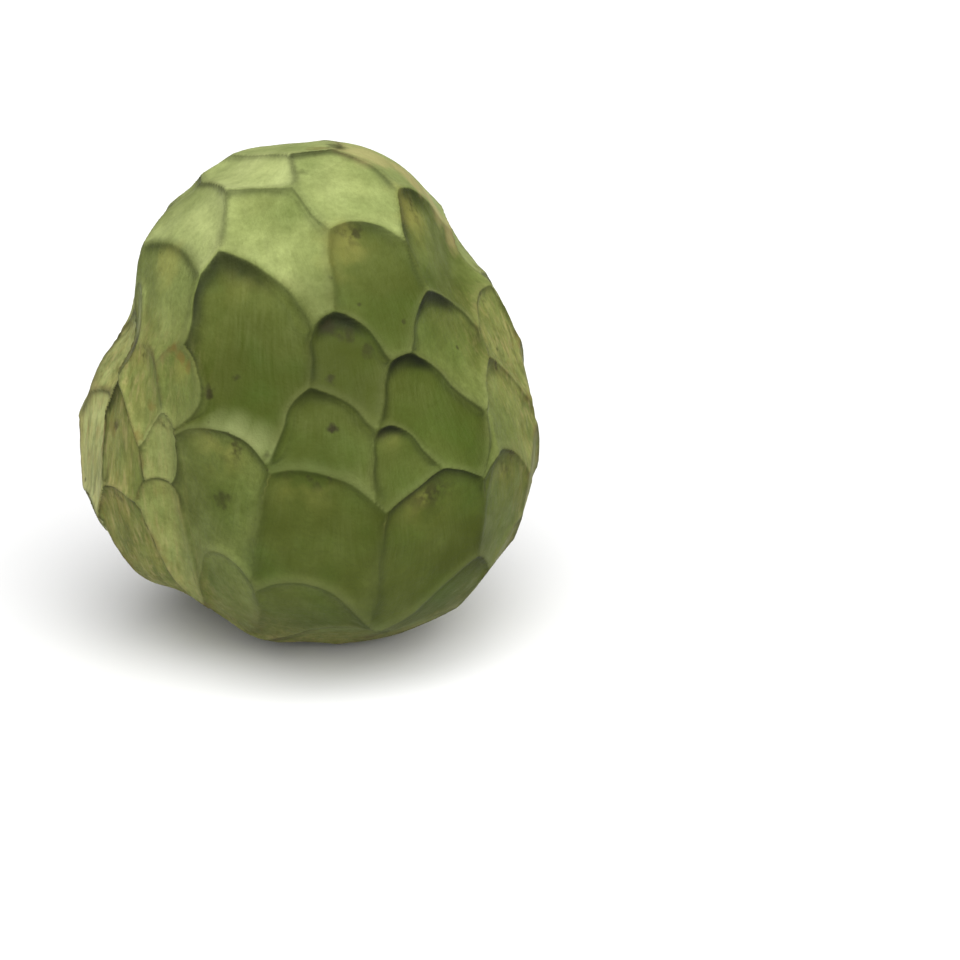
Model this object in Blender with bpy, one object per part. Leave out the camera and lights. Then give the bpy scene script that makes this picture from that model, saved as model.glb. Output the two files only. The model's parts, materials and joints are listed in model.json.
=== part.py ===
"""A custard apple (cherimoya), whole, resting on the small flat spot at its stem end.

The fruit is one grown body. Its surface is given by a single rule: every direction from the
fruit's middle has one radius. That radius is a rounded heart shape, plus broad swells and
hollows, plus the thumb-print relief of the scales that cover the skin.

A direction is named by its turn (0 is the front, -Y, and +90 is the right side, +X) and its
lift (+90 is the tip of the crown, -90 the stem end). The origin is the middle of the flat spot.
"""
import math
import random

import bmesh
import bpy
from mathutils import Vector

MM = 0.001

# ---- the rounded body
HALF_WIDTH = 52.0 * MM        # middle of the body to its side
CROWN_RISE = 64.5 * MM        # middle of the body to the tip
BASE_DROP = 55.5 * MM         # middle of the body to the stem end, before the flat spot
MIDDLE_HEIGHT = 52.5 * MM     # height of the middle above the surface that it rests on

# ---- swells (+) and hollows (-): turn, lift, reach across, reach along in degrees, and height
SWELLS = [
    (-82, -25, 32, 29, 4.0 * MM),     # left shoulder
    (20, -27, 36, 32, 5.5 * MM),      # front shoulder
    (165, -11, 40, 34, 5.5 * MM),     # back shoulder
    (-38, -12, 11, 30, -4.4 * MM),    # groove between the front and the left shoulder
    (-67, 14, 8, 20, -3.0 * MM),      # short groove above the left shoulder
    (-142, -6, 11, 28, -3.5 * MM),    # groove between the left and the back shoulder
    (118, -8, 12, 28, -2.5 * MM),     # groove between the right side and the back
    (-84, 31, 26, 13, -6.0 * MM),     # waist on the left
    (66, 27, 36, 26, -7.0 * MM),      # waist on the right
    (-68, 48, 30, 22, 1.5 * MM),      # crown filled out on the left
    (95, 52, 26, 15, -7.5 * MM),      # crown drawn in on the right
    (-125, 64, 20, 16, -5.0 * MM),    # dent beside the tip
    (5, -56, 22, 20, -3.5 * MM),      # underside drawn in at the front
    (-60, -50, 13, 10, -7.0 * MM),    # underside drawn in at the left
]

# ---- scales that shape the front: turn, lift, lean in degrees, then half width, arch height
# ---- above the middle and reach below it in millimetres
FRONT_SCALES = [
    # around the tip
    (-119, 88, 0, 14, 13, 10),
    (108, 80, 5, 17, 13, 19),
    (-41, 72, 0, 15, 7, 7),
    (16, 72, 0, 11, 11, 16),
    # crown
    (-60, 59, 12, 18, 8, 12),
    (-12, 58, -25, 10, 14, 25),
    (20, 49, -8, 9, 11, 19),
    (64, 54, -20, 14, 13, 22),
    (112, 43, -7, 11, 10, 20),
    # upper body
    (-51, 40, -6, 14, 13, 13),
    (-14, 36, -5, 14, 17, 28),
    (11, 29, -3, 9, 10, 16),
    (49, 34, -3, 14, 8, 13),
    (30, 20, 0, 10, 8, 13),
    # lower body
    (5, 14, 0, 10, 9, 18),
    (-21, -2, 18, 12, 14, 30),
    (2, -8, 6, 12, 14, 26),
    (22, 6, -5, 6, 7, 9),
    (30, -13, -5, 11, 12, 22),
    (-2, -34, 10, 11, 14, 21),
    (-23, -28, 0, 8, 12, 18),
    # beside and on the left shoulder
    (-33, 22, -22, 6, 7, 8),
    (-47, 19, -13, 5, 9, 11),
    (-39, 5, 8, 4, 7, 9),
    (-41, -12, -4, 5, 7, 22),
    (-60, 34, -10, 7, 9, 10),
    (-54, 3, 0, 6, 11, 11),
    (-55, -18, -6, 7, 9, 20),
    (-71, 0, 0, 8, 11, 14),
    (-73, 23, -5, 9, 11, 11),
    (-94, 18, 0, 12, 12, 14),
    (-93, -6, 0, 11, 13, 18),
    (-74, -24, 0, 9, 9, 18),
]

# ---- rows of scales that finish the other sides: lift, first turn, last turn, how many
SCALE_ROWS = [
    (66, 160, 250, 2),
    (47, 128, 284, 4),
    (28, 76, 268, 7),
    (8, 50, 262, 8),
    (-13, 52, 256, 8),
    (-34, 22, 262, 9),
    (-55, 0, 330, 10),
    (-75, 0, 360, 6),
]
ROW_SCALE = (0, 12, 13, 20)    # lean, half width, arch height, reach below
ROW_START = 0.25               # where the first scale of a row sits, in steps of the row
ROW_STAGGER = 0.5              # every other row is shifted by this much of a step
ROW_WANDER = 3.0               # degrees that a scale in a row may sit off its place
ROW_SEED = 4

# ---- relief of the scales
ARCH_FIRMNESS = 1.0            # how far an arch keeps its own round outline where scales crowd it
FLARE = 0.5                    # how much a scale widens below its middle
FLARE_END = 1.5                # in reaches below the middle, where the widening stops
PRINT_DEPTH = 0.125            # depth of a thumb-print, as a part of its half width
WIDEST_PRINT = 14.0 * MM       # wider scales are no deeper than this one
PRINT_POWER = 2.5              # flat floor, steep rim
OUTER_GAUGE = 1.25             # past this the skin rises no further
RIM_HEIGHT = 0.2 * MM          # thin raised line where scales meet
RIM_WIDTH = 0.10
BLEND = 14.0                   # how sharply one scale's depth takes over from the next
FAR_SIDE = 0.001               # keeps a spot's map finite on the far side of the fruit

# ---- mesh and finish
CELLS = 28                     # cells along each side of the cube that becomes the body
SKIN_COLOUR = (0.20, 0.29, 0.07, 1.0)
SKIN_ROUGHNESS = 0.6


def direction(turn, lift):
    """Unit vector from the middle of the fruit."""
    turn, lift = math.radians(turn), math.radians(lift)
    return Vector((math.sin(turn) * math.cos(lift), -math.cos(turn) * math.cos(lift), math.sin(lift)))


class Spot:
    """A place on the fruit with its own flat map: x to the right, y towards the tip."""

    def __init__(self, turn, lift, lean=0.0):
        self.centre = direction(turn, lift)
        side = direction(turn + 90, 0)
        up = self.centre.cross(side)
        lean = math.radians(lean)
        self.side = side * math.cos(lean) - up * math.sin(lean)
        self.up = up * math.cos(lean) + side * math.sin(lean)

    def chart(self, ray):
        """Angles (radians) across and along from the spot to a direction, on the map."""
        spread = 2.0 / max(1.0 + ray.dot(self.centre), FAR_SIDE)
        return ray.dot(self.side) * spread, ray.dot(self.up) * spread


class Scale(Spot):
    """One scale of the skin: a tongue with an arched top and a flared foot."""

    def __init__(self, turn, lift, lean, half_width, arch, reach):
        super().__init__(turn, lift, lean)
        self.half_width = half_width * MM
        self.arch = arch * MM
        self.reach = reach * MM

    def gauge(self, ray, radius):
        """0 at the middle of the scale and 1 on its own outline."""
        across, along = (angle * radius for angle in self.chart(ray))
        if along > 0:
            high = along / self.arch
            return math.hypot(across / self.half_width, high) ** (1 + ARCH_FIRMNESS * min(high, 1))
        below = -along / self.reach
        width = self.half_width * (1 + FLARE * min(below, FLARE_END))
        return math.hypot(across / width, below)


def swell_list():
    return [(Spot(turn, lift), math.radians(wide), math.radians(tall), height)
            for turn, lift, wide, tall, height in SWELLS]


def scale_list():
    """The front's scales, then the rows that carry on round the sides and the back."""
    scales = [Scale(*numbers) for numbers in FRONT_SCALES]
    chance = random.Random(ROW_SEED)
    for row, (lift, first, last, count) in enumerate(SCALE_ROWS):
        step = (last - first) / count
        for place in range(count):
            turn = first + step * (place + ROW_START + ROW_STAGGER * (row % 2))
            turn += chance.uniform(-ROW_WANDER, ROW_WANDER)
            off = chance.uniform(-ROW_WANDER, ROW_WANDER)
            scales.append(Scale(turn, lift + off, *ROW_SCALE))
    return scales


def body_radius(ray, swells):
    """Radius of the smooth body: a rounded heart with its swells and hollows."""
    rise = CROWN_RISE if ray.z > 0 else BASE_DROP
    level = math.hypot(ray.x, ray.y)
    radius = 1.0 / math.hypot(level / HALF_WIDTH, ray.z / rise)
    for spot, wide, tall, height in swells:
        across, along = spot.chart(ray)
        radius += height * math.exp(-(across / wide) ** 2 - (along / tall) ** 2)
    return radius


def relief(ray, radius, scales):
    """Height of the skin against the smooth body: prints sink in, rims stand up."""
    gauges = [scale.gauge(ray, radius) for scale in scales]
    nearest, second = sorted(gauges)[:2]
    weights = [math.exp(-BLEND * (gauge - nearest)) for gauge in gauges]
    widths = (min(scale.half_width, WIDEST_PRINT) for scale in scales)
    width = sum(w * h for w, h in zip(weights, widths)) / sum(weights)
    dip = min(nearest, OUTER_GAUGE) ** PRINT_POWER - 1.0
    rim = RIM_HEIGHT * math.exp(-(second - nearest) / RIM_WIDTH)
    return PRINT_DEPTH * width * dip + rim


def skin_material():
    material = bpy.data.materials.new("green_skin")
    material.use_nodes = True
    finish = material.node_tree.nodes["Principled BSDF"]
    finish.inputs["Base Color"].default_value = SKIN_COLOUR
    finish.inputs["Roughness"].default_value = SKIN_ROUGHNESS
    finish.inputs["Metallic"].default_value = 0.0
    material.diffuse_color = SKIN_COLOUR
    return material


def round_cube(cells):
    """A cube cut into even cells and blown up to a ball of radius 1."""
    shape = bmesh.new()
    bmesh.ops.create_cube(shape, size=2.0)
    bmesh.ops.subdivide_edges(shape, edges=shape.edges[:], cuts=cells - 1, use_grid_fill=True)
    for vert in shape.verts:
        vert.co = Vector([math.tan(part * math.pi / 4) for part in vert.co]).normalized()
    return shape


def custard_apple():
    swells = swell_list()
    scales = scale_list()
    shape = round_cube(CELLS)
    for vert in shape.verts:
        ray = vert.co.copy()
        radius = body_radius(ray, swells)
        radius += relief(ray, radius, scales)
        vert.co = ray * radius + Vector((0, 0, MIDDLE_HEIGHT))
        vert.co.z = max(vert.co.z, 0.0)
    bmesh.ops.triangulate(shape, faces=shape.faces[:])
    mesh = bpy.data.meshes.new("custard_apple")
    shape.to_mesh(mesh)
    shape.free()
    mesh.shade_smooth()
    mesh.materials.append(skin_material())
    return bpy.data.objects.new("custard_apple", mesh)


def main():
    for thing in list(bpy.data.objects):
        bpy.data.objects.remove(thing, do_unlink=True)
    collection = bpy.data.collections.new("custard_apple")
    bpy.context.scene.collection.children.link(collection)
    collection.objects.link(custard_apple())


main()
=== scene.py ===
# %% [markdown]
# # A custard apple, grown from one rule
#
# A custard apple (cherimoya) is many small fruits that grew together into one. Each small fruit
# shows on the skin as one scale, a shallow thumb-print with an arched top that points to the
# tip. The whole thing is a single piece, so it is built here as a single skin.
#
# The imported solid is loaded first. It gives the size, the place and the body that the skin
# rides on. Its height also sets what one millimetre of the fruit is, so every size below
# follows it.

# %% Load the solid and read its size
import json
import math
import random

import bpy
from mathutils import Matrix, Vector

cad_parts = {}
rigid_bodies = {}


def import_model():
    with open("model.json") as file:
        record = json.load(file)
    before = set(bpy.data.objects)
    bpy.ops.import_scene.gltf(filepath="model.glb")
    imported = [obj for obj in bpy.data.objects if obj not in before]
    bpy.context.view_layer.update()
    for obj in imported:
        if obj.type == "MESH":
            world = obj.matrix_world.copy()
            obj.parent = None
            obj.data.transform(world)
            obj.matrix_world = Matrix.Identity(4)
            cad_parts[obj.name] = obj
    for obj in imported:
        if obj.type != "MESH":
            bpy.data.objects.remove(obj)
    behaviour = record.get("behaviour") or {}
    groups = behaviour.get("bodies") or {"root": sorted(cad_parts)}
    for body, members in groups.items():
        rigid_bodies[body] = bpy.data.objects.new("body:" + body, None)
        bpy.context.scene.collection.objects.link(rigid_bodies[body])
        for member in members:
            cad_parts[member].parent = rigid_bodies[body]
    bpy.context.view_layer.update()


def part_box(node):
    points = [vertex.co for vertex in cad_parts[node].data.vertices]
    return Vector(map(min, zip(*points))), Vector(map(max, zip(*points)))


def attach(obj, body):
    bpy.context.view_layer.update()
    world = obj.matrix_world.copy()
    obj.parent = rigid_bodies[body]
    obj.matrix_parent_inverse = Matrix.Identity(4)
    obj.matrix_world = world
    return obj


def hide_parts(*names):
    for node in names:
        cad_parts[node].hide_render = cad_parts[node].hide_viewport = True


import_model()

NODE = "custard_apple"
FRUIT_HEIGHT = 115.1                      # the fruit's height in its own millimetres

node_low, node_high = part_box(NODE)
MM = (node_high.z - node_low.z) / FRUIT_HEIGHT
print("one millimetre of the fruit is", round(MM, 6), "m")

# %% [markdown]
# ## Writing node trees as sums
#
# Both the shape and the finish are node trees. Node by node, a formula is hard to read, so one
# small class wraps a socket and lets it be added, multiplied and raised to a power in an
# expression. Each operator adds one Math node to the tree.

# %% A socket that works in an expression
class Flow:
    """One output socket. Sums on it add Math nodes to its tree."""

    def __init__(self, tree, socket):
        self.tree = tree
        self.socket = socket

    def __add__(self, other):
        return self.tree.maths("ADD", self, other)

    def __radd__(self, other):
        return self.tree.maths("ADD", other, self)

    def __sub__(self, other):
        return self.tree.maths("SUBTRACT", self, other)

    def __rsub__(self, other):
        return self.tree.maths("SUBTRACT", other, self)

    def __mul__(self, other):
        return self.tree.maths("MULTIPLY", self, other)

    def __rmul__(self, other):
        return self.tree.maths("MULTIPLY", other, self)

    def __truediv__(self, other):
        return self.tree.maths("DIVIDE", self, other)

    def __rtruediv__(self, other):
        return self.tree.maths("DIVIDE", other, self)

    def __neg__(self):
        return self.tree.maths("MULTIPLY", self, -1.0)

    def __pow__(self, other):
        return self.tree.maths("POWER", self, other)


print("a socket can be used in sums")

# %% [markdown]
# The tree is wrapped too. Every node comes from its one method, put, which sets the node's own
# settings first and then fills its sockets with values or with links. Two shapes of curve come
# back all the time and get names: a step, which divides the skin in two, and a bell, which
# draws a soft line.

# %% A tree that makes its own nodes
class Tree:
    """A node tree, and the one method that every node in it comes from."""

    def __init__(self, nodes):
        self.nodes = nodes

    def link(self, flow, socket):
        self.nodes.links.new(flow.socket, socket)

    def put(self, kind, settings=None, sockets=None):
        """A new node. Its settings are set first, then its sockets by name or number."""
        node = self.nodes.nodes.new(kind)
        for name, value in (settings or {}).items():
            setattr(node, name, value)
        for name, value in (sockets or {}).items():
            if isinstance(value, Flow):
                self.link(value, node.inputs[name])
            else:
                node.inputs[name].default_value = value
        return node

    def node(self, kind, settings=None, sockets=None, out=0):
        """A new node's output, ready for an expression."""
        return Flow(self, self.put(kind, settings, sockets).outputs[out])

    def maths(self, operation, *terms):
        return self.node("ShaderNodeMath", {"operation": operation}, dict(enumerate(terms)))

    def vector(self, operation, *terms, out=0):
        return self.node("ShaderNodeVectorMath", {"operation": operation},
                         dict(enumerate(terms)), out)

    def dot(self, one, other):
        return self.vector("DOT_PRODUCT", one, other, out="Value")

    def grown(self, direction, length):
        """A direction drawn out to a length."""
        return self.node("ShaderNodeVectorMath", {"operation": "SCALE"},
                         {0: direction, "Scale": length})

    def parts(self, vector):
        """x, y and z of a vector."""
        made = self.put("ShaderNodeSeparateXYZ", None, {0: vector})
        return [Flow(self, socket) for socket in made.outputs]

    def joined(self, x, y, z):
        return self.node("ShaderNodeCombineXYZ", None, {0: x, 1: y, 2: z})

    def step(self, value, low, high):
        """0 below low, 1 above high and a smooth rise between."""
        return self.node("ShaderNodeMapRange", {"interpolation_type": "SMOOTHSTEP"},
                         {"Value": value, "From Min": low, "From Max": high})

    def bell(self, value, width):
        """1 at 0, falling away smoothly on both sides."""
        return self.maths("EXPONENT", -((value / width) * (value / width)))


print("a tree makes its own nodes")

# %% [markdown]
# ## Where things are on the fruit
#
# A place on the skin is named by the direction to it from the middle of the fruit: its turn
# (0 is the front, +90 the right) and its lift (+90 is the tip). A swell or a scale also needs
# to know what is across and what is along, so each place carries two more directions, one to
# its side and one towards the tip, turned by its lean.

# %% Directions from the middle of the fruit
def direction(turn, lift):
    turn, lift = math.radians(turn), math.radians(lift)
    level = math.cos(lift)
    return Vector((math.sin(turn) * level, -math.cos(turn) * level, math.sin(lift)))


def place(turn, lift, lean=0.0):
    """The place's own direction, the one to its side and the one towards the tip."""
    centre = direction(turn, lift)
    side = direction(turn + 90, 0)
    up = centre.cross(side)
    lean = math.radians(lean)
    return (centre,
            side * math.cos(lean) - up * math.sin(lean),
            up * math.cos(lean) + side * math.sin(lean))


print("the front is", [round(v, 2) for v in direction(0, 0)])

# %% [markdown]
# ## The heart shape
#
# The body is a rounded heart, broad at the stem end and drawn in to the tip. Broad swells make
# its shoulders and narrow hollows make the grooves between them. The whole list is short,
# because each entry is one thing that a hand would feel on the fruit.

# %% The body's sizes, its shoulders and its grooves
HALF_WIDTH = 52.0 * MM
CROWN_RISE = 64.5 * MM
BASE_DROP = 55.5 * MM
MIDDLE_HEIGHT = 52.5 * MM

SWELLS = [
    # turn, lift, reach across and along in degrees, height in millimetres
    (-82, -25, 32, 29, 4.0),      # left shoulder
    (20, -27, 36, 32, 5.5),       # front shoulder
    (165, -11, 40, 34, 5.5),      # back shoulder
    (-38, -12, 11, 30, -4.4),     # groove between the front and the left shoulder
    (-67, 14, 8, 20, -3.0),       # short groove above the left shoulder
    (-142, -6, 11, 28, -3.5),     # groove between the left and the back shoulder
    (118, -8, 12, 28, -2.5),      # groove between the right side and the back
    (-84, 31, 26, 13, -6.0),      # waist on the left
    (66, 27, 36, 26, -7.0),       # waist on the right
    (-68, 48, 30, 22, 1.5),       # crown filled out on the left
    (95, 52, 26, 15, -7.5),       # crown drawn in on the right
    (-125, 64, 20, 16, -5.0),     # dent beside the tip
    (5, -56, 22, 20, -3.5),       # underside drawn in at the front
    (-60, -50, 13, 10, -7.0),     # underside drawn in at the left
]
print(len(SWELLS), "swells and hollows")

# %% [markdown]
# ## Where the scales sit
#
# The scales on the front each have their own size and their own green, as they do on a real
# fruit, so they are placed one by one. The scales on the other sides are more even, and come
# in rows, each row shifted by half a scale against the last like tiles on a roof. A little
# wander, always from the same seed, keeps the rows from looking laid.

# %% The scales on the front
FRONT_SCALES = [
    # turn, lift, lean in degrees, then half width, arch height and reach below in millimetres,
    # then how pale its green is and how dark the painted shade under its arch is, each from 0 to
    # 10
    # around the tip
    (-119, 88, 0, 14, 13, 10, 8, 3),
    (108, 80, 5, 17, 13, 19, 8, 3),
    (-41, 72, 0, 15, 7, 7, 8.3, 2),
    (16, 72, 0, 11, 11, 16, 6.6, 7),
    # crown
    (-60, 59, 12, 18, 8, 12, 8.2, 4),
    (-12, 58, -25, 10, 14, 25, 4.9, 4),
    (20, 49, -8, 9, 11, 19, 0.1, 4),
    (64, 54, -20, 14, 13.5, 22, 1.6, 7),
    (112, 43, -7, 11, 10, 20, 5.4, 5),
    # upper body
    (-51, 40, -6, 14, 13, 13, 3.9, 4),
    (-14, 36, -5, 14, 17, 28, 0.6, 8),
    (11, 29, -3, 9, 10, 16, 0, 10),
    (49, 34, -3, 14, 8, 13, 2.3, 9),
    (30, 20, 0, 10, 8, 13, 0.4, 10),
    # lower body
    (5, 14, 0, 10, 9, 18, 0.75, 6),
    (-21, -2, 18, 12, 14, 30, 1.7, 1),
    (2, -8, 6, 12, 14, 26, 0, 1.5),
    (22, 6, -5, 6, 7, 9, 0, 10),
    (30, -13, -5, 11, 12, 22, 0, 6),
    (-2, -34, 10, 11, 14, 21, 1.2, 0),
    (-23, -28, 0, 8, 12, 18, 2.4, 1),
    # beside and on the left shoulder
    (-33, 22, -22, 6, 7, 8, 2.7, 2),
    (-47, 19, -13, 5, 9, 11, 3.8, 3),
    (-39, 5, 8, 4, 7, 9, 4.2, 2),
    (-41, -12, -4, 5, 7, 22, 3.8, 2),
    (-60, 34, -10, 7, 9, 10, 6, 1),
    (-54, 3, 0, 6, 11, 11, 3.4, 6),
    (-55, -18, -6, 7, 9, 20, 2.3, 3),
    (-71, 0, 0, 8, 11, 14, 8.7, 3),
    (-73, 23, -5, 9, 11, 11, 8.3, 3),
    (-94, 18, 0, 12, 12, 14, 8, 3),
    (-93, -6, 0, 11, 13, 18, 8, 3),
    (-74, -24, 0, 9, 9, 18, 7, 3),
]
print(len(FRONT_SCALES), "scales placed by hand")

# %% [markdown]
# The front of the fruit stayed deep green. The rows turn pale with their distance from there,
# give or take a little for each scale.

# %% The rows on the other sides
SCALE_ROWS = [
    # lift, first turn, last turn, how many
    (66, 160, 250, 2),
    (47, 128, 284, 4),
    (28, 76, 268, 7),
    (8, 50, 262, 8),
    (-13, 52, 256, 8),
    (-34, 22, 262, 9),
    (-55, 0, 330, 10),
    (-75, 0, 360, 6),
]
ROW_SCALE = (0, 12, 13, 20)      # lean, half width, arch height, reach below
ROW_START = 0.25                 # where the first scale of a row sits, in steps of the row
ROW_STAGGER = 0.5                # every other row is shifted by this much of a step
ROW_WANDER = 3.0                 # degrees that a scale in a row may sit off its place
ROW_ARCH = (1, 7)                # how dark the painted shade under the arches of the rows is, from and to
ROW_SEED = 4
DEEP_SIDE = (14, 0)              # turn and lift of the side that stayed deep green
DEEP_REACH, PALE_REACH = 42, 86  # degrees from there to where it starts and stops turning pale
PALE_ROWS = 7                    # how pale the rows are in the end
PALE_WANDER = (-2.0, 1.5)        # how much paler one scale may be, from and to


def row_green(turn, lift, chance):
    """How pale a scale in a row is and how dark the painted shade under its arch is."""
    away = math.degrees(direction(turn, lift).angle(direction(*DEEP_SIDE)))
    pale = PALE_ROWS * min(max((away - DEEP_REACH) / (PALE_REACH - DEEP_REACH), 0.0), 1.0)
    return max(pale + chance.uniform(*PALE_WANDER), 0.0), chance.uniform(*ROW_ARCH)


def row_scales():
    chance, green_chance = random.Random(ROW_SEED), random.Random(ROW_SEED)
    for row, (lift, first, last, count) in enumerate(SCALE_ROWS):
        step = (last - first) / count
        for number in range(count):
            turn = first + step * (number + ROW_START + ROW_STAGGER * (row % 2))
            turn += chance.uniform(-ROW_WANDER, ROW_WANDER)
            at = lift + chance.uniform(-ROW_WANDER, ROW_WANDER)
            yield (turn, at, *ROW_SCALE, *row_green(turn, at, green_chance))


SCALES = FRONT_SCALES + list(row_scales())
print(len(SCALES), "scales with the rows")

# %% [markdown]
# ## Lists that a node tree can read
#
# Geometry Nodes can't read a Python list, but it can read points. Each list becomes a cloud of
# loose points, one for each entry, that carries the entry's numbers as attributes. The points
# are only a note to the tree and are thrown away once the skin is made.
#
# Each scale also carries a rank. A scale lies over the ones below it, so its lift says which
# edge is on top. A few lie over a neighbour that is higher, and get some degrees of lift more.

# %% Turn a list into points with attributes
LYING_OVER = {
    # turn and lift of the scale: degrees of lift more
    (-51, 40): 12, (-33, 22): 34, (-47, 19): 34, (-39, 5): 14, (-41, -12): 20, (-71, 0): 18,
}


def points(name, spots, numbers):
    """A mesh with one loose point for each spot and its numbers as attributes."""
    centres, sides, ups = zip(*spots)
    mesh = bpy.data.meshes.new(name)
    mesh.from_pydata(centres, [], [])
    for key, values in (("side", sides), ("up", ups)):
        attribute = mesh.attributes.new(key, "FLOAT_VECTOR", "POINT")
        attribute.data.foreach_set("vector", [part for value in values for part in value])
    for key, values in numbers.items():
        attribute = mesh.attributes.new(key, "FLOAT", "POINT")
        attribute.data.foreach_set("value", values)
    made = bpy.data.objects.new(name, mesh)
    bpy.context.scene.collection.objects.link(made)
    return made


swell_points = points("swell_points", [place(s[0], s[1]) for s in SWELLS], {
    "wide": [math.radians(s[2]) for s in SWELLS],
    "tall": [math.radians(s[3]) for s in SWELLS],
    "height": [s[4] * MM for s in SWELLS],
})
tone_chance = random.Random(ROW_SEED)
scale_points = points("scale_points", [place(*s[:3]) for s in SCALES], {
    "half_width": [s[3] * MM for s in SCALES],
    "arch": [s[4] * MM for s in SCALES],
    "reach": [s[5] * MM for s in SCALES],
    "rank": [s[1] + LYING_OVER.get(s[:2], 0) for s in SCALES],
    "pale": [s[6] / 10 for s in SCALES],
    "shade": [s[7] / 10 for s in SCALES],
    "tone": [tone_chance.random() for s in SCALES],
})
print("points:", len(swell_points.data.vertices), "swells,",
      len(scale_points.data.vertices), "scales")

# %% [markdown]
# ## Growing the skin
#
# The tree starts from a cube cut into even cells and blown up to a ball, which has no poles
# and no seam. Then it goes through the swells one at a time and adds each to the radius. Then
# it goes through the scales one at a time. For each it works out a gauge, 0 in the middle of
# the scale and 1 on its outline, and keeps the smallest, the one that owns this bit of skin,
# and the next smallest, its neighbour. Where the two are equal, two scales meet and there is a
# ridge. The gauge then shapes the print: deep in the middle and steep under the arch.
#
# Every size is a named input, so the whole skin can be tried another way from the modifier.

# %% Named inputs of the tree
INPUTS = [
    # name, kind, value
    ("Cells", "NodeSocketInt", 128),                      # along each side of the cube
    ("Half Width", "NodeSocketFloat", HALF_WIDTH),
    ("Crown Rise", "NodeSocketFloat", CROWN_RISE),
    ("Base Drop", "NodeSocketFloat", BASE_DROP),
    ("Middle Height", "NodeSocketFloat", MIDDLE_HEIGHT),
    ("Arch Firmness", "NodeSocketFloat", 1.0),            # how round an arch stays in a crowd
    ("Flare", "NodeSocketFloat", 0.5),                    # widening below a scale's middle
    ("Print Depth", "NodeSocketFloat", 0.125),            # as a part of the half width
    ("Widest Print", "NodeSocketFloat", 14.0 * MM),       # wider scales are no deeper
    ("Print Power", "NodeSocketFloat", 2.5),              # flat floor, steep rim
    ("Outer Gauge", "NodeSocketFloat", 1.25),             # past this the skin rises no further
    ("Blend", "NodeSocketFloat", 18.0),                   # how sharply prints give way
    ("Rim Height", "NodeSocketFloat", 0.06 * MM),
    ("Rim Width", "NodeSocketFloat", 0.10),               # widths here are in gauge
    ("Step Depth", "NodeSocketFloat", 0.6 * MM),
    ("Step Width", "NodeSocketFloat", 0.32),
    ("Lip Height", "NodeSocketFloat", 0.5 * MM),
    ("Lip Width", "NodeSocketFloat", 0.5),                # how far the lip runs up its scale
    ("Lip Fall", "NodeSocketFloat", 0.2),                 # and how quickly it drops off
    ("Rank Blend", "NodeSocketFloat", 7.0),
    ("Rank Span", "NodeSocketFloat", 8.0),                # degrees of rank for a full overlap
    ("Wander", "NodeSocketFloat", 0.018),
    ("Wander Size", "NodeSocketFloat", 7.0),
    ("Ripple Height", "NodeSocketFloat", 0.22 * MM),
    ("Ripple Size", "NodeSocketFloat", 14.0),
    ("Settle", "NodeSocketFloat", 0.5 * MM),              # keeps the skin inside the solid
    ("Seed", "NodeSocketInt", 11),
    ("Swells", "NodeSocketObject", swell_points),
    ("Scales", "NodeSocketObject", scale_points),
    ("Skin", "NodeSocketMaterial", None),
]

grower = bpy.data.node_groups.new("grow_skin", "GeometryNodeTree")
for way in ("INPUT", "OUTPUT"):
    grower.interface.new_socket("Geometry", in_out=way, socket_type="NodeSocketGeometry")
sockets_by_name = {
    name: grower.interface.new_socket(name, in_out="INPUT", socket_type=kind).identifier
    for name, kind, _ in INPUTS
}
tree = Tree(grower)
entry = tree.put("NodeGroupInput")
given = {name: Flow(tree, entry.outputs[name]) for name, _, _ in INPUTS}
print("the tree takes", len(given), "named inputs")

# %% [markdown]
# Two things are needed again and again inside the tree: to keep a value on the skin under a
# name, and to go through a cloud of points one by one. The second is a Repeat zone. Inside it,
# the numbers of the current point are picked out by the iteration's number.

# %% Keeping values and going through points
def keep(mesh, name, value):
    """The mesh with a value kept on every vertex under a name."""
    return tree.node("GeometryNodeStoreNamedAttribute",
                     {"data_type": "FLOAT", "domain": "POINT"},
                     {"Geometry": mesh, "Name": name, "Value": value})


def kept(name, kind="FLOAT"):
    return tree.node("GeometryNodeInputNamedAttribute", {"data_type": kind}, {"Name": name})


def for_each_point(mesh, cloud, work):
    """Runs work(mesh, pick) once for each point. pick reads an attribute of that point."""
    info = tree.node("GeometryNodeObjectInfo", None, {"Object": cloud}, out="Geometry")
    count = tree.node("GeometryNodeAttributeDomainSize", {"component": "MESH"},
                      {"Geometry": info}, out="Point Count")
    start = tree.put("GeometryNodeRepeatInput")
    end = tree.put("GeometryNodeRepeatOutput")
    start.pair_with_output(end)
    tree.link(count, start.inputs["Iterations"])
    tree.link(mesh, start.inputs["Geometry"])
    number = Flow(tree, start.outputs["Iteration"])

    def pick(name, kind="FLOAT"):
        source = tree.node("GeometryNodeInputPosition") if name == "position" else kept(name, kind)
        return tree.node("GeometryNodeSampleIndex", {"data_type": kind, "domain": "POINT"},
                         {"Geometry": info, "Value": source, "Index": number})

    tree.link(work(Flow(tree, start.outputs["Geometry"]), pick), end.inputs["Geometry"])
    return Flow(tree, end.outputs["Geometry"])


print("zones ready")

# %% [markdown]
# A swell or a scale is measured on a flat map of its own, as if the skin round it were peeled
# off and laid out. Of the many such maps, this one keeps small shapes true everywhere, which
# is what a scale's round arch needs.

# %% A flat map round a point
FAR_SIDE = 0.001      # keeps the map finite on the far side of the fruit


def chart(ray, pick):
    """Angles across and along from a point to a direction, on the point's own flat map."""
    centre = pick("position", "FLOAT_VECTOR")
    spread = 2.0 / tree.maths("MAXIMUM", 1.0 + tree.dot(ray, centre), FAR_SIDE)
    across = tree.dot(ray, pick("side", "FLOAT_VECTOR")) * spread
    along = tree.dot(ray, pick("up", "FLOAT_VECTOR")) * spread
    return across, along


print("maps ready:", len(grower.nodes), "nodes")

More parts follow.
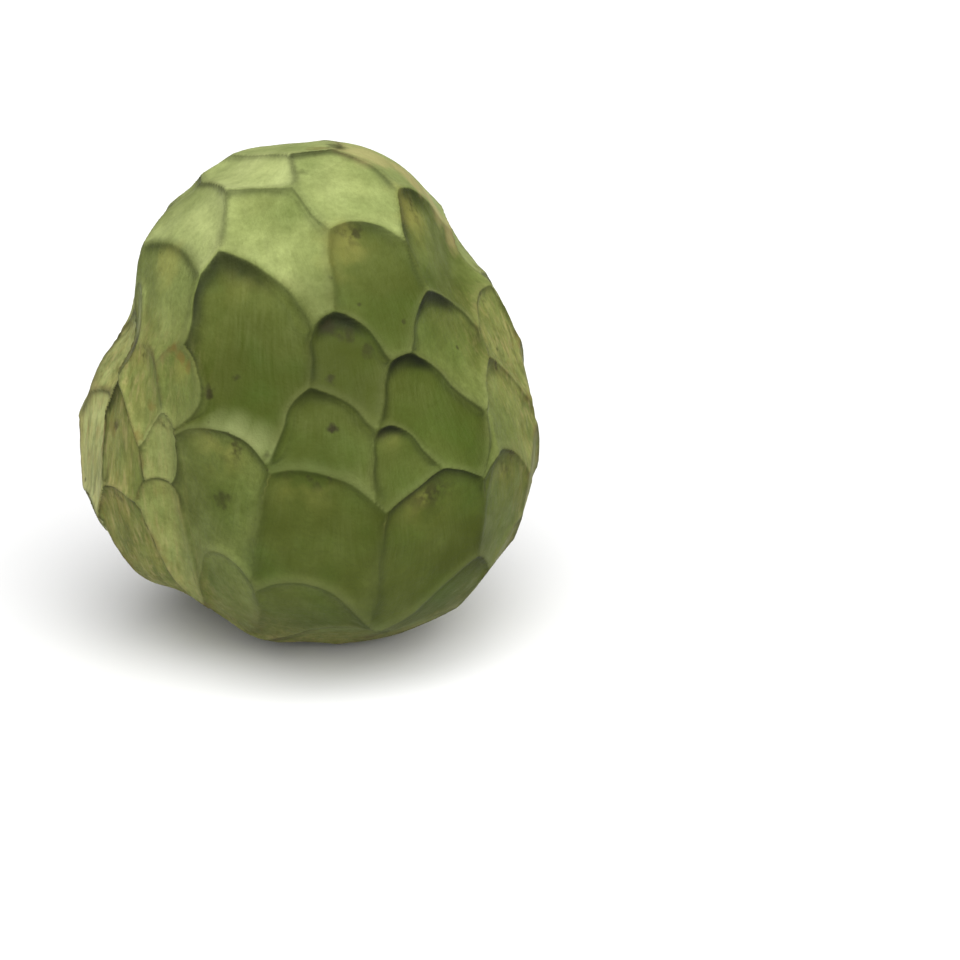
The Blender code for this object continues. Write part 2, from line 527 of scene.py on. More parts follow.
# %% [markdown]
# The ball and the smooth body come first. While the mesh is a ball of radius 1, a vertex's
# position is its direction, so nothing has to be kept for that.

# %% A ball without poles, and the smooth body's radius
cuts = given["Cells"] + 1
cube = tree.node("GeometryNodeMeshCube", None,
                 {"Size": (2, 2, 2), "Vertices X": cuts, "Vertices Y": cuts, "Vertices Z": cuts})
ray = tree.node("GeometryNodeInputPosition")
even = tree.vector("TANGENT", tree.grown(ray, math.pi / 4))
ball = tree.node("GeometryNodeSetPosition", None,
                 {"Geometry": cube, "Position": tree.vector("NORMALIZE", even)})

ray_x, ray_y, ray_z = tree.parts(ray)
level = tree.maths("SQRT", ray_x * ray_x + ray_y * ray_y)
above = tree.maths("GREATER_THAN", ray_z, 0.0)
rise = above * given["Crown Rise"] + (1.0 - above) * given["Base Drop"]
flat_part = level / given["Half Width"]
tall_part = ray_z / rise
smooth_radius = 1.0 / tree.maths("SQRT", flat_part * flat_part + tall_part * tall_part)


def add_swell(mesh, pick):
    across, along = chart(ray, pick)
    wide, tall = across / pick("wide"), along / pick("tall")
    bell = tree.maths("EXPONENT", -(wide * wide + tall * tall))
    return keep(mesh, "radius", kept("radius") + pick("height") * bell)


body = for_each_point(keep(ball, "radius", smooth_radius), given["Swells"], add_swell)
print("smooth body:", len(grower.nodes), "nodes")

# %% [markdown]
# The scales come next. The direction is nudged by a slow noise before it is measured, so the
# ridges wander a little as grown ones do. On its own flat map, a scale is an arch above its
# middle and a foot that flares below it.

# %% The outline of one scale
FLARE_END = 1.5       # in reaches below the middle, where the widening stops
HALF = (0.5, 0.5, 0.5)

nudge = tree.node("ShaderNodeTexNoise", {"noise_dimensions": "3D"},
                  {"Vector": ray, "Scale": given["Wander Size"], "Detail": 1.0}, out="Color")
nudge = tree.grown(tree.vector("SUBTRACT", nudge, HALF), given["Wander"])
wandered = tree.vector("NORMALIZE", tree.vector("ADD", ray, nudge))


def outline(mesh, pick):
    """The mesh, and a scale's gauge, x and y on it. x and y are 1 where the outline is."""
    across, along = chart(wandered, pick)
    across, along = across * kept("radius"), along * kept("radius")
    below = tree.maths("MAXIMUM", -(along / pick("reach")), 0.0)
    flare = given["Flare"] * tree.maths("MINIMUM", below, FLARE_END)
    x = across / (pick("half_width") * (1.0 + flare))
    arch_y = along / pick("arch")
    above = tree.maths("MAXIMUM", arch_y, 0.0)
    y = tree.maths("MAXIMUM", arch_y, below)
    firm = 1.0 + given["Arch Firmness"] * tree.maths("MINIMUM", above, 1.0)
    gauge = tree.maths("SQRT", x * x + y * y) ** firm
    capture = tree.put("GeometryNodeCaptureAttribute", {"domain": "POINT"})
    tree.link(mesh, capture.inputs["Geometry"])
    for item, value in (("gauge", gauge), ("x", x), ("y", above - below)):
        capture.capture_items.new("FLOAT", item)
        tree.link(value, capture.inputs[item])
    return [Flow(tree, capture.outputs[item]) for item in ("Geometry", "gauge", "x", "y")]


print("outline ready:", len(grower.nodes), "nodes")

# %% [markdown]
# Every scale is then measured against every bit of skin. The scale with the smallest gauge
# leaves its own place and rank there. What must pass from one scale to the next without a
# jump, such as its width, its paleness and its tone, is summed instead, and each scale counts
# by how near it is. The same sum gives a softened smallest gauge, which rounds the ridges over
# about a millimetre, as skin does.

# %% Measure every scale against every bit of skin
FAR = 9.0             # a gauge that is larger than any real one
SHARED = ("widths", "highs", "pales", "shades", "tones")
SUMS = ("own_rank", "rank_weights", "ranks", "print_x", "print_y", "weights") + SHARED

measured = body
for name, value in [("nearest", FAR), ("second", FAR)] + [(name, 0.0) for name in SUMS]:
    measured = keep(measured, name, value)


def add_scale(mesh, pick):
    mesh, gauge, x, y = outline(mesh, pick)
    nearest, second = kept("nearest"), kept("second")
    wins = tree.maths("LESS_THAN", gauge, nearest)
    for name, value in (("own_rank", pick("rank")), ("print_x", x), ("print_y", y)):
        mesh = keep(mesh, name, wins * value + (1.0 - wins) * kept(name))
    farther = tree.maths("MAXIMUM", nearest, gauge)
    mesh = keep(mesh, "second", tree.maths("MINIMUM", second, farther))
    mesh = keep(mesh, "nearest", tree.maths("MINIMUM", nearest, gauge))

    rank_weight = tree.maths("EXPONENT", -(gauge * given["Rank Blend"]))
    mesh = keep(mesh, "rank_weights", kept("rank_weights") + rank_weight)
    mesh = keep(mesh, "ranks", kept("ranks") + rank_weight * pick("rank"))
    weight = tree.maths("EXPONENT", -(gauge * given["Blend"]))
    mesh = keep(mesh, "weights", kept("weights") + weight)
    width = tree.maths("MINIMUM", pick("half_width"), given["Widest Print"])
    high = tree.maths("MAXIMUM", y, 0.0)
    for name, value in zip(SHARED, (width, high, pick("pale"), pick("shade"), pick("tone"))):
        mesh = keep(mesh, name, kept(name) + weight * value)
    return mesh


measured = for_each_point(measured, given["Scales"], add_scale)
print("scales measured:", len(grower.nodes), "nodes")

# %% [markdown]
# Now the height of the skin. Three things are added to the smooth radius: the print itself, a
# thin rim along every ridge, and a lip where a scale lies over the one below it. The lip rises
# gently on the upper scale, falls off quickly on the lower one, and leaves a shallow step
# there. Which scale is the upper one follows from the ranks. Lips fade near the tip, where no
# scale lies over another, and on the underside, where they are pressed flat.

# %% Shape the prints, the rims and the lips
LOW_LIPS = (-0.95, -0.4)      # heights of the direction where the lips grow to their full size
HIGH_LIPS = (0.72, 0.92)      # and where they fade again
LIPS_LOST = 0.8               # how much of them is gone at the tip

gap = kept("second") - kept("nearest")
soft = -(tree.maths("LOGARITHM", kept("weights"), math.e) / given["Blend"])
soft = tree.maths("MINIMUM", tree.maths("MAXIMUM", soft, 0.0), given["Outer Gauge"])
width = kept("widths") / kept("weights")
dip = given["Print Depth"] * width * (soft ** given["Print Power"] - 1.0)
rim = given["Rim Height"] * tree.bell(gap, given["Rim Width"])
around = kept("ranks") / kept("rank_weights")
under = tree.maths("TANH", (around - kept("own_rank")) / given["Rank Span"])
overlap = tree.maths("ABSOLUTE", under)
lower = tree.maths("GREATER_THAN", under, 0.0)


def hump(width):
    """0 on the edge, 1 at this gap from it, and away again."""
    part = (gap / width) * (gap / width)
    return part * tree.maths("EXPONENT", 1.0 - part)


drop = overlap * tree.step(ray_z, *LOW_LIPS) * (1.0 - LIPS_LOST * tree.step(ray_z, *HIGH_LIPS))
fall = lower * given["Lip Fall"] + (1.0 - lower) * given["Lip Width"]
lip = given["Lip Height"] * drop * tree.bell(gap, fall)
step_down = given["Step Depth"] * drop * lower * hump(given["Step Width"])
print("relief:", len(grower.nodes), "nodes")

# %% [markdown]
# Slow ripples stand for the flesh under the skin, and everything is settled half a millimetre
# inwards, so that the raised lips stay inside the solid's box. The lowest part is cut level,
# which is the flat spot at the stem end that the fruit rests on. The skin keeps the few values
# that its finish will need. The averages are worked out last, when the mesh has its shape.

# %% Move the skin out and close the tree
ripple = tree.node("ShaderNodeTexNoise", {"noise_dimensions": "4D"},
                   {"Vector": ray, "W": given["Seed"], "Scale": given["Ripple Size"],
                    "Detail": 2.0})
ripples = (ripple - 0.5) * given["Ripple Height"]
height = dip + rim + lip - step_down + ripples - given["Settle"]
at_x, at_y, at_z = tree.parts(tree.grown(ray, kept("radius") + height))
at_z = tree.maths("MAXIMUM", at_z + given["Middle Height"], 0.0)

skin = measured
for name, value in (("gap", gap), ("seam", gap * under), ("overlap", overlap)):
    skin = keep(skin, name, value)
skin = tree.node("GeometryNodeSetPosition", None,
                 {"Geometry": skin, "Position": tree.joined(at_x, at_y, at_z)})
for name in SHARED:
    skin = keep(skin, name, kept(name) / kept("weights"))
skin = tree.node("GeometryNodeSetShadeSmooth", None, {"Geometry": skin, "Shade Smooth": True})
skin = tree.node("GeometryNodeRealizeInstances", None, {"Geometry": skin})
skin = tree.node("GeometryNodeSetMaterial", None, {"Geometry": skin, "Material": given["Skin"]})
tree.put("NodeGroupOutput", None, {"Geometry": skin})
print("the skin's tree has", len(grower.nodes), "nodes")

# %% [markdown]
# The tree now runs once. Its inputs are set by each socket's own identifier, the result is
# taken as a plain mesh, and the modifier and the loose points go. So do the values that only
# the tree needed. The material is made empty here and painted further down, because the skin
# has to carry it from the start.

# %% Run the tree and keep its mesh
FOR_THE_FINISH = ("gap", "seam", "overlap", "print_x", "print_y") + SHARED[1:]

skin_material = bpy.data.materials.new("green_skin")
seedling = bpy.data.objects.new("seedling", bpy.data.meshes.new("seedling"))
bpy.context.scene.collection.objects.link(seedling)
growth = seedling.modifiers.new("grow_skin", "NODES")
growth.node_group = grower
for name, _, value in INPUTS:
    growth[sockets_by_name[name]] = skin_material if name == "Skin" else value

grown_seedling = seedling.evaluated_get(bpy.context.evaluated_depsgraph_get())
grown_mesh = bpy.data.meshes.new_from_object(grown_seedling)
for spent in (seedling, swell_points, scale_points):
    bpy.data.objects.remove(spent)
grown_values = [value.name for value in grown_mesh.attributes if value.data_type == "FLOAT"]
for name in grown_values:
    if name not in FOR_THE_FINISH:
        grown_mesh.attributes.remove(grown_mesh.attributes[name])
print("the skin keeps", len(FOR_THE_FINISH), "of its", len(grown_values), "values")

fruit = bpy.data.objects.new("custard_apple_skin", grown_mesh)
bpy.context.scene.collection.objects.link(fruit)
spots = [vertex.co / MM for vertex in grown_mesh.vertices]
print(len(grown_mesh.vertices), "vertices,", 2 * len(grown_mesh.polygons), "triangles")
print("low", [round(min(spot[i] for spot in spots), 1) for i in range(3)], "mm")
print("high", [round(max(spot[i] for spot in spots), 1) for i in range(3)], "mm")

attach(fruit, "root")
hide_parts(NODE)

# %% [markdown]
# ## The finish of the skin
#
# The skin of a custard apple is dull, finely felted and far from one green. Each scale has its own
# green, and painted shade makes it darkest just under its arch. The ridges turn tan and corky
# where they are rubbed, and old scuffs leave brown flecks. Most of this follows values that the
# tree kept on the skin, so the finish fits the scales exactly.

# %% Colours of the skin
FULL = 255
TOE_END, TOE_SLOPE = 10, 12.92                      # the straight start of a screen's curve
CURVE_SHIFT, CURVE_SCALE, CURVE_POWER = 0.055, 1.055, 2.4


def colour(*parts):
    """A screen colour, each part from 0 to 255, as the shader counts light."""
    return tuple(((part / FULL + CURVE_SHIFT) / CURVE_SCALE) ** CURVE_POWER
                 if part > TOE_END else part / (FULL * TOE_SLOPE) for part in parts) + (1.0,)


DEEP_GREEN = colour(52, 59, 13)
LEAF_GREEN = colour(158, 173, 92)
PALE_GREEN = colour(166, 173, 118)
BLUISH_GREEN = colour(52, 78, 20)
OCHRE = colour(142, 136, 70)
TAN = colour(158, 140, 96)
OLIVE = colour(150, 140, 76)
BROWN = colour(36, 33, 15)
RUSSET = colour(98, 82, 38)
# a near-black green for painted shade: under arches, in creases and along overhung edges
CREASE_SHADE = colour(14, 18, 4)
print("deep green is", [round(part, 3) for part in DEEP_GREEN[:3]])

# %% [markdown]
# A noise whose size is given in the fruit's millimetres makes every patch and grain. On a place
# that is squeezed first, the same noise makes streaks.

# %% Patches and streaks
skin_material.use_nodes = True
skin_material.node_tree.nodes.clear()
paint = Tree(skin_material.node_tree)
fruit_place = paint.node("ShaderNodeTexCoord", out="Object")


def noise(vector, scale, seed, detail, low, high):
    """A noise whose values from low to high are drawn out to 0 and 1."""
    made = paint.node("ShaderNodeTexNoise", {"noise_dimensions": "4D"},
                      {"Vector": vector, "W": seed, "Scale": scale, "Detail": detail,
                       "Roughness": 0.5})
    return paint.node("ShaderNodeMapRange", None,
                      {"Value": made, "From Min": low, "From Max": high})


def patches(size, seed, detail=2.0, low=0.35, high=0.65):
    """Patches of this size in millimetres."""
    return noise(fruit_place, 1.0 / (size * MM), seed, detail, low, high)


def streaks(place, seed, detail=2.0, low=0.35, high=0.65):
    """Patches on a place that was stretched beforehand."""
    return noise(place, 1.0, seed, detail, low, high)


def drawn_upright(size, squeeze):
    """The place on the fruit in units of this size, with its height squeezed."""
    squeezed = paint.vector("MULTIPLY", fruit_place, (1.0, 1.0, squeeze))
    return paint.grown(squeezed, 1.0 / (size * MM))


print("patches and streaks ready")

# %% [markdown]
# Colours are laid one over another, each through its own mask, like thin coats of paint. A mask
# is a sum of what the tree kept on the skin: how pale a scale is, how near its edge, and so on.

# %% Coats of paint and the values that steer them
def between(ends, by):
    """The first of two numbers where by is 0, the second where it is 1."""
    first, last = ends
    return first + (last - first) * by


def lay(under, over, mask):
    """One colour laid over another where the mask is 1."""
    return paint.node("ShaderNodeMix", {"data_type": "RGBA"}, {0: mask, 6: under, 7: over}, out=2)


def on_skin(name):
    return paint.node("ShaderNodeAttribute", {"attribute_name": name}, out="Fac")


def report(what):
    print(what, "painted,", len(paint.nodes.nodes), "nodes so far")


gap, seam, overlap = on_skin("gap"), on_skin("seam"), on_skin("overlap")
pale, arch_shade, tone = on_skin("pales"), on_skin("shades"), on_skin("tones")
high, print_x, print_y = on_skin("highs"), on_skin("print_x"), on_skin("print_y")
print("the finish reads", len(FOR_THE_FINISH), "values of the skin")

# %% [markdown]
# Each scale has its own green. A pale one is mixed from a leaf green and a greyer one, because the
# palest scales are also the greyest. Towards its foot, which turns up to the light, each scale is
# painted a little paler: painted light. Slow patches, quicker mottling and fine grain break every
# green up, and show most where it is deep.

# %% Ground colour
FOOT = (0.35, 1.3)         # how far down its print the painted light on a scale's foot starts and is whole
FOOT_LIGHT = 0.05
UNEVEN = (0.1, 0.25)       # how much paleness varies on the deepest and on the palest scales
BLUISH = 0.3               # this and the next are strengths of a coat
MOTTLED = (0.4, 0.18)      # on the deepest and on the palest scales
GRAINY = (0.3, 0.1)

slow, mottle = patches(20, seed=3), patches(4.5, seed=5, detail=3)
# painted light: each scale is a little paler down towards its foot, which turns up to the lamp
foot = paint.step(-print_y, *FOOT)
paleness = pale + FOOT_LIGHT * foot + between(UNEVEN, pale) * (slow + tone - 1.0)
ground = lay(DEEP_GREEN, lay(LEAF_GREEN, PALE_GREEN, paleness), paleness)
bluish = patches(12, seed=41, detail=1, low=0.45, high=0.7)
ground = lay(ground, BLUISH_GREEN, BLUISH * bluish)
ground = lay(ground, DEEP_GREEN, between(MOTTLED, pale) * mottle)
ground = lay(ground, DEEP_GREEN, between(GRAINY, pale) * patches(0.9, seed=9))
report("ground colour")

# %% [markdown]
# Away from the deep green side, and below the crown, the skin is also warmer. It shows in
# upright streaks: broad soft ones of olive, and over them finer ones of tan, russet and deep
# green.

# %% Warm streaks round the sides
WARM_SIDE = (0.3, 0.8)                 # cosines of the angle to the deep side: warm, cool
CROWN = (18.0 * MM, 36.0 * MM)         # heights over the middle where the warmth fades out
OLIVE_STREAKS = (0.1, 0.36)            # strength beside and on a broad streak
OLIVE_SHARE = (0.6, 1.2)               # part of it on the deepest and on the palest scales
DARK_STREAKS = 0.5
FINE_STREAKS = [
    # colour, strength, seed, values of the noise where a streak starts and is whole
    (TAN, 0.35, 71, 0.5, 0.7),
    (RUSSET, 0.4, 77, 0.55, 0.75),
    (DEEP_GREEN, 0.4, 83, 0.52, 0.7),
]

broad, fine = drawn_upright(3.0, squeeze=0.25), drawn_upright(1.1, squeeze=0.2)
from_middle = paint.vector("SUBTRACT", fruit_place, (0.0, 0.0, MIDDLE_HEIGHT))
towards = paint.vector("NORMALIZE", from_middle)
facing_deep = paint.dot(towards, tuple(direction(*DEEP_SIDE)))
below_crown = 1.0 - paint.step(paint.parts(from_middle)[2], *CROWN)
warm = (1.0 - paint.step(facing_deep, *WARM_SIDE)) * below_crown
olive = warm * between(OLIVE_STREAKS, streaks(broad, seed=51))
ground = lay(ground, OLIVE, olive * between(OLIVE_SHARE, pale))
dark_streaks = streaks(broad, seed=57, detail=3, low=0.48, high=0.7)
ground = lay(ground, DEEP_GREEN, DARK_STREAKS * warm * dark_streaks)
for over, strength, seed, start, whole in FINE_STREAKS:
    ground = lay(ground, over, strength * warm * streaks(fine, seed, low=start, high=whole))
report("warm streaks")

# %% [markdown]
# Fine streaks run down each scale, because its skin stretched that way as it grew. They read
# the place on the scale's own print, so they follow its lean. Near the top of some scales the
# green turns to ochre.

# %% Streaks and ochre on the scales
ACROSS, DOWN, APART = 20.0, 3.0, 50.0    # streaks to a print, and how far prints differ
PRINT_STREAKS = (0.03, 0.13)             # strength on the deepest and on the palest scales
OCHRE_X, OCHRE_Y = -0.2, 0.6             # middle of the ochre on a print
OCHRE_WIDE, OCHRE_TALL = 0.5, 0.35
OCHRE_TONES = (0.3, 0.8)                 # tones of the scales that start to have it, have it
OCHRE_TOP = 0.22

print_place = paint.joined(print_x * ACROSS, print_y * DOWN, tone * APART)
print_streaks = streaks(print_place, seed=8, detail=3, high=0.7) * patches(8, seed=19)
ground = lay(ground, PALE_GREEN, between(PRINT_STREAKS, pale) * print_streaks)
near_top = paint.bell(print_y - OCHRE_Y, OCHRE_TALL) * paint.bell(print_x - OCHRE_X, OCHRE_WIDE)
stained = paint.step(tone, *OCHRE_TONES) * near_top * patches(6, seed=17, low=0.4, high=0.6)
ground = lay(ground, OCHRE, OCHRE_TOP * stained)
report("streaks and ochre")

# %% [markdown]
# Where two scales meet there is a thin dark crease, partly the skin's own dark joint and partly
# painted shade under the edge. Its place is the hard part, because the skin only knows it at the
# corners of its mesh. The seam value changes its sign where one scale passes under another, so it
# says exactly where the edge is, and the crease can be thin. Where neither scale is the upper one,
# the plain gap has to do, and the crease is a little wider.

# %% Where the edges are
SURE = (0.3, 0.5)                  # overlaps where the seam starts to count and counts alone
INSIDE = (-0.01, 0.05)             # seam values on the upper and on the lower side of an edge
CREASE_WIDTH = (0.23, 0.13)        # in gauge, where the edge is unsure and where it is sure

sure = paint.step(overlap, *SURE)
crisp_gap = paint.maths("ABSOLUTE", seam) / paint.maths("MAXIMUM", overlap, SURE[0])
edge_gap = sure * crisp_gap + (1.0 - sure) * gap
line = paint.bell(edge_gap, between(CREASE_WIDTH, sure))
inside = paint.step(seam, *INSIDE)
outside = 1.0 - inside
report("edges")

# %% [markdown]
# The edge of the upper scale is painted a little paler: painted light where it turns up towards
# the lamp. Ridges that are rubbed turn to tan cork, and on the warm sides they are touched with
# russet. Under an arch that is hidden from the light there is painted shade, a soft dark crescent,
# which is wider where the arch is darker. How strong it is differs from scale to scale, and so
# does the crease.

# %% Corky ridges, painted light on edges, painted shade in crescents and creases
PAINTED_LIGHT_EDGE, PAINTED_LIGHT_WIDTH = 0.08, 0.5
CORK, CORK_WIDTH = 0.5, 0.25
CORK_SHARE = (0.2, 1.0)            # part of it on deep and pale, and on cool and warm skin
RUBBED, RUBBED_WIDTH = 0.5, 0.2
ARCH = (0.3, 0.75)                 # how high on its print the painted shade under an arch begins and is whole
CRESCENT_WIDTH = (0.25, 0.75)      # where the painted shade under the arch is lightest and darkest
UNDER_EDGE = 0.1                   # painted shade in the crease under an edge, and what is added to it
BY_SHADE, BY_PALE, BY_WARM = 0.5, 0.2, 0.2
EVEN_EDGE = (0.2, 0.6)             # the crease, dark joint and painted shade, where neither scale is the upper one

cork = paint.bell(gap, CORK_WIDTH) * patches(9, seed=15, detail=4, low=0.45, high=0.65)
cork = cork * between(CORK_SHARE, pale) * between(CORK_SHARE, warm)
rubbed = paint.bell(gap, RUBBED_WIDTH) * patches(5, seed=87, detail=3, low=0.5, high=0.62)
# painted light: the upper scale's edge, turned up to the lamp, is painted paler
ground = lay(ground, PALE_GREEN, PAINTED_LIGHT_EDGE * overlap * outside * paint.bell(gap, PAINTED_LIGHT_WIDTH))
ground = lay(ground, TAN, CORK * cork * outside)
ground = lay(ground, RUSSET, RUBBED * warm * rubbed)

# painted shade: a soft dark crescent just under each arch
crescent = paint.bell(gap / between(CRESCENT_WIDTH, arch_shade), 1.0)
ground = lay(ground, CREASE_SHADE, inside * arch_shade * paint.step(high, *ARCH) * crescent)
# painted shade along the crease under an edge, with the skin's own darker joint
under_edge = (UNDER_EDGE + BY_SHADE * arch_shade + BY_PALE * pale + BY_WARM * warm) * inside
even_edge = between(EVEN_EDGE, pale) * (1.0 - overlap)
ground = lay(ground, CREASE_SHADE, line * (under_edge + even_edge))
report("creases")

# %% [markdown]
# Some marks are this fruit's own: brown scuffs where it rubbed on a twig, ochre and russet stains
# on a few scales, tan down the right of the crown and two deep patches. Two kinds are painted
# light and shade: a patch of painted light on the upturned foot of one front scale, and painted
# shade along edges that a neighbour overhangs. Each has a place, a size and a strength.

# %% Marks with a place of their own
BROWN_MARKS = [
    # turn, lift, size in millimetres, strength
    (-20, -5, 2.2, 0.6), (-22, -5, 1.6, 0.4), (7, 36, 2.2, 0.6), (12, 34, 1.8, 0.6),
    (17, 30, 1.8, 0.5), (7, 24, 1.2, 0.6), (7, 13, 1.3, 0.9), (-17, 24, 0.9, 0.6),
    (-4, 73, 1.0, 0.3), (54, 84, 2.2, 0.55), (-56, 7, 1.5, 0.6), (-24, 20, 1.6, 0.8),
    (-8, 7, 1.0, 0.5), (-62, 14, 1.4, 0.5),
    (0, -90, 5.0, 0.8),       # the stem's scar
]
OCHRE_MARKS = [(13, 53, 5.5, 0.22), (51, 61, 5.5, 0.3), (-33, 24, 3.2, 0.25), (-50, 46, 5.0, 0.25)]
RUSSET_MARKS = [
    (-36, 28.5, 1.7, 0.6), (-33.5, 27, 1.6, 0.65), (-31, 25, 1.3, 0.5), (-62, 17, 1.5, 0.6),
    (-57, 27, 1.8, 0.7), (-58, 6, 2.5, 0.4), (-46, 6, 1.6, 0.5), (-43, 14, 1.5, 0.4),
    (8, 84, 2.5, 0.4),
]
TAN_MARKS = [(75, 78, 8.0, 0.4), (88, 70, 7.0, 0.45), (95, 62, 6.0, 0.45), (98, 54, 5.0, 0.4)]
# painted light on the upturned foot of one front scale
PAINTED_LIGHT_MARKS = [(-20, 13, 4.5, 0.12), (-16, 12, 5.0, 0.2), (-11, 10, 5.0, 0.18), (-7, 8, 3.5, 0.1)]
DEEP_MARKS = [(4, 41, 8.0, 0.55), (26, 36, 7.0, 0.4)]
# painted shade along edges that a neighbour overhangs
SHADED_EDGES = [
    (-30, 40, 7.0, 0.8), (-31, 30, 5.0, 0.6), (-35, 4, 6.0, 0.5), (-37, -6, 7.0, 0.5),
    (-56, 27, 4.0, 0.7), (-61, 11, 4.0, 0.6), (28, 48, 5.0, 0.6),
]
print(len(BROWN_MARKS), "scuffs,", len(OCHRE_MARKS + RUSSET_MARKS + TAN_MARKS), "stains")

# %% [markdown]
# A mark is a spot round its place with a soft edge. Noise is added to the distance from the place
# before the edge is drawn: a quick one tears scuffs into flecks, a slow one lets stains run. The
# painted light and the deep patches keep to the upper side of an edge, the painted shade along
# edges to the lower.

# %% Lay the marks
MARK_EDGE = (0.2, 1.2)        # in sizes of the mark, from where it is whole to where it ends
RUN = 0.7                     # how far stains run, in sizes of the mark
SHADE_WIDTH = 0.35            # of the painted shade along overhung edges, in gauge

torn = patches(1.6, seed=61, detail=3, low=0.3, high=0.7) - 0.5
runny = RUN * (patches(5, seed=63, low=0.3, high=0.7) - 0.5)


def marks(spots, fray=0.0):
    """1 on every listed spot, with its edge frayed."""
    mask = 0.0
    for turn, lift, size, strength in spots:
        apart = paint.vector("DISTANCE", towards, tuple(direction(turn, lift)), out="Value")
        apart = apart * (HALF_WIDTH / (size * MM)) + fray
        spot = strength * (1.0 - paint.step(apart, *MARK_EDGE))
        mask = paint.maths("MAXIMUM", mask, spot)
    return mask


ground = lay(ground, OCHRE, marks(OCHRE_MARKS, runny))
# painted light on the upturned foot of one front scale, on the upper side of edges
ground = lay(ground, PALE_GREEN, marks(PAINTED_LIGHT_MARKS) * outside)
ground = lay(ground, DEEP_GREEN, marks(DEEP_MARKS) * outside)
ground = lay(ground, TAN, marks(TAN_MARKS, runny))
ground = lay(ground, RUSSET, marks(RUSSET_MARKS, torn))
ground = lay(ground, BROWN, marks(BROWN_MARKS, torn))
# painted shade on the lower side of edges that a neighbour overhangs
shaded = inside * paint.bell(edge_gap, SHADE_WIDTH)
ground = lay(ground, CREASE_SHADE, marks(SHADED_EDGES, runny) * shaded)
report("marks")

# %% [markdown]
# Old scuffs also sit near the top of some scales, and small dark specks lie scattered.

# %% Scuffs and specks
SCUFF, SPECK = 0.7, 0.6
SCUFF_Y = 0.7                 # how high on its print a scuff sits
SCUFF_WIDE, SCUFF_TALL = 0.45, 0.22
SCUFF_TONES = (0.45, 0.7)     # tones of the scales that start to have scuffs, have them
SPECK_APART = 7.0 * MM
SPECK_EDGE = (0.04, 0.11)     # in parts of that distance
SPECK_TORN = 0.08

near_top = paint.bell(print_y - SCUFF_Y, SCUFF_TALL) * paint.bell(print_x, SCUFF_WIDE)
scuffed = near_top * paint.step(tone, *SCUFF_TONES)
scuffed = scuffed * patches(2.6, seed=21, detail=4, low=0.5, high=0.62)
to_speck = paint.node("ShaderNodeTexVoronoi", {"feature": "F1", "voronoi_dimensions": "3D"},
                      {"Vector": fruit_place, "Scale": 1.0 / SPECK_APART}, out="Distance")
speckled = 1.0 - paint.step(to_speck + SPECK_TORN * torn, *SPECK_EDGE)
speckled = speckled * patches(14, seed=27, low=0.5, high=0.6)
ground = lay(ground, BROWN, SCUFF * scuffed)
ground = lay(ground, BROWN, SPECK * speckled)
report("scuffs and specks")

# %% [markdown]
# The bump holds what is too fine for the mesh: a pebbling of about two millimetres, the felt of
# tiny hairs, and the streaks. Roughness stays high all over, most of all on mottled skin and on
# cork, and the skin hardly shines.

# %% Bump, roughness and the shader itself
PEBBLES, FELT, STREAKS = 0.4, 0.15, 0.25      # shares of the bump
BUMP_HEIGHT, BUMP_STRENGTH = 0.35 * MM, 0.6
DULL, MOTTLE_DULLER, CORK_DULLER = 0.58, 0.12, 0.1
SHINE = 0.09

relief = (PEBBLES * patches(2.2, seed=31, detail=3) + FELT * patches(0.5, seed=33)
          + STREAKS * print_streaks)
bump = paint.node("ShaderNodeBump", None,
                  {"Strength": BUMP_STRENGTH, "Distance": BUMP_HEIGHT, "Height": relief})
rough = DULL + MOTTLE_DULLER * mottle + CORK_DULLER * cork
shader = paint.node("ShaderNodeBsdfPrincipled", None,
                    {"Base Color": ground, "Roughness": rough, "Normal": bump,
                     "Specular IOR Level": SHINE})
paint.put("ShaderNodeOutputMaterial", None, {"Surface": shader})
print("the skin's paint has", len(skin_material.node_tree.nodes), "nodes")

# %% [markdown]
# ## The stage
#
# The fruit stands on a plain pale floor, wide enough to fill the view behind it.

# %% Floor
FLOOR_REACH = 8.0
FLOOR_COLOUR = (0.72, 0.72, 0.72, 1.0)
FLOOR_ROUGHNESS = 0.9

floor_mesh = bpy.data.meshes.new("floor")
floor_mesh.from_pydata([(x * FLOOR_REACH, y * FLOOR_REACH, 0)
                        for x, y in ((-1, -1), (1, -1), (1, 1), (-1, 1))], [], [(0, 1, 2, 3)])
floor = bpy.data.objects.new("floor", floor_mesh)
bpy.context.scene.collection.objects.link(floor)
floor_material = bpy.data.materials.new("pale_floor")
floor_material.use_nodes = True
floor_shader = floor_material.node_tree.nodes["Principled BSDF"]
floor_shader.inputs["Base Color"].default_value = FLOOR_COLOUR
floor_shader.inputs["Roughness"].default_value = FLOOR_ROUGHNESS
floor_mesh.materials.append(floor_material)
print("floor", 2 * FLOOR_REACH, "m wide")

# %% [markdown]
# One large soft light from the front, high and a little to the right, gives the soft shadow on
# the floor and the gentle fall of light down the fruit. A faint glow from all round keeps the
# underside from going black. Where the camera looks past the end of the floor it sees plain
# white, and that white adds no light to the fruit.

# %% Lights
KEY_TURN, KEY_LIFT = 16, 50
KEY_STRENGTH = 6.8
KEY_SPREAD = 84                  # degrees that the light covers, which softens its shadow
GLOW, SEEN_GLOW = 0.06, 1.0      # the world as a light, and as the camera sees it

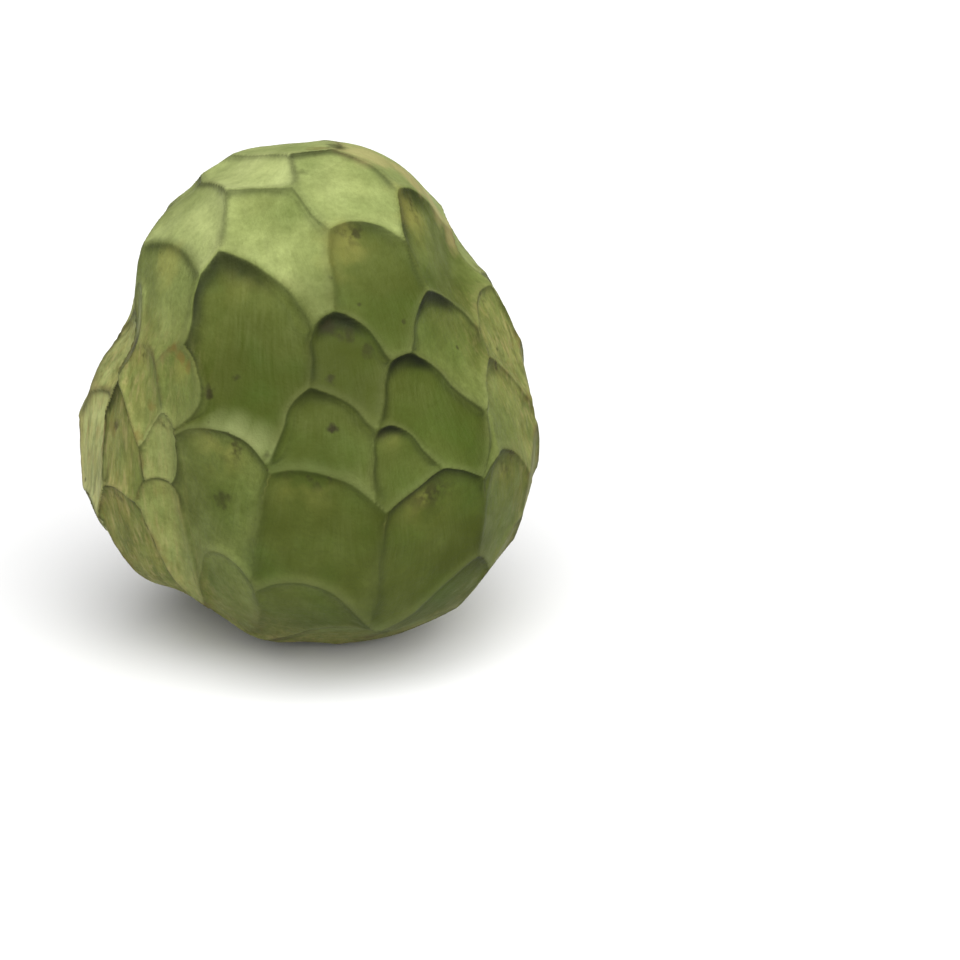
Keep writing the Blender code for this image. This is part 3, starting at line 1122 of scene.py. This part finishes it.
key_light = bpy.data.lights.new("key", "SUN")
key_light.energy, key_light.angle = KEY_STRENGTH, math.radians(KEY_SPREAD)
key = bpy.data.objects.new("key", key_light)
key.rotation_euler = direction(KEY_TURN, KEY_LIFT).to_track_quat("Z", "Y").to_euler()
bpy.context.scene.collection.objects.link(key)

world = bpy.data.worlds.new("studio")
world.use_nodes = True
sky = Tree(world.node_tree)
background = world.node_tree.nodes["Background"]
background.inputs["Color"].default_value = (1.0, 1.0, 1.0, 1.0)
in_view = sky.node("ShaderNodeLightPath", out="Is Camera Ray")
sky.link(GLOW + (SEEN_GLOW - GLOW) * in_view, background.inputs["Strength"])
bpy.context.scene.world = world
bpy.context.scene.view_settings.view_transform = "Standard"
print("one light, strength", KEY_STRENGTH)

# %% [markdown]
# The camera looks slightly down at the fruit, which stands up and to the left of the middle of
# the frame. Its distance is fitted to its lens, so the fruit keeps its size in the frame.

# %% Camera
LENS, SENSOR = 85.0, 36.0
LOOK_DOWN = 18.0                     # degrees
FRAME_WIDTH = 218.1818               # what the frame takes in at the fruit, in millimetres
FRUIT_MIDDLE = (-0.4, 0.0, 57.0)
TO_RIGHT, TO_BELOW = 36.8, 19.3      # where the camera aims, from the fruit's middle
NEAR, FAR_AWAY = 0.01, 100.0

down = math.radians(LOOK_DOWN)
forward = Vector((0, math.cos(down), -math.sin(down)))
upward = Vector((0, math.sin(down), math.cos(down)))
aim = (Vector(FRUIT_MIDDLE) + Vector((TO_RIGHT, 0, 0)) - upward * TO_BELOW) * MM
camera_data = bpy.data.cameras.new("camera")
camera_data.lens, camera_data.sensor_width = LENS, SENSOR
camera_data.clip_start, camera_data.clip_end = NEAR, FAR_AWAY
camera = bpy.data.objects.new("camera", camera_data)
camera.location = aim - forward * (FRAME_WIDTH * MM * LENS / SENSOR)
camera.rotation_euler = forward.to_track_quat("-Z", "Y").to_euler()
bpy.context.scene.collection.objects.link(camera)
bpy.context.scene.camera = camera
print("camera at", [round(v, 3) for v in camera.location])
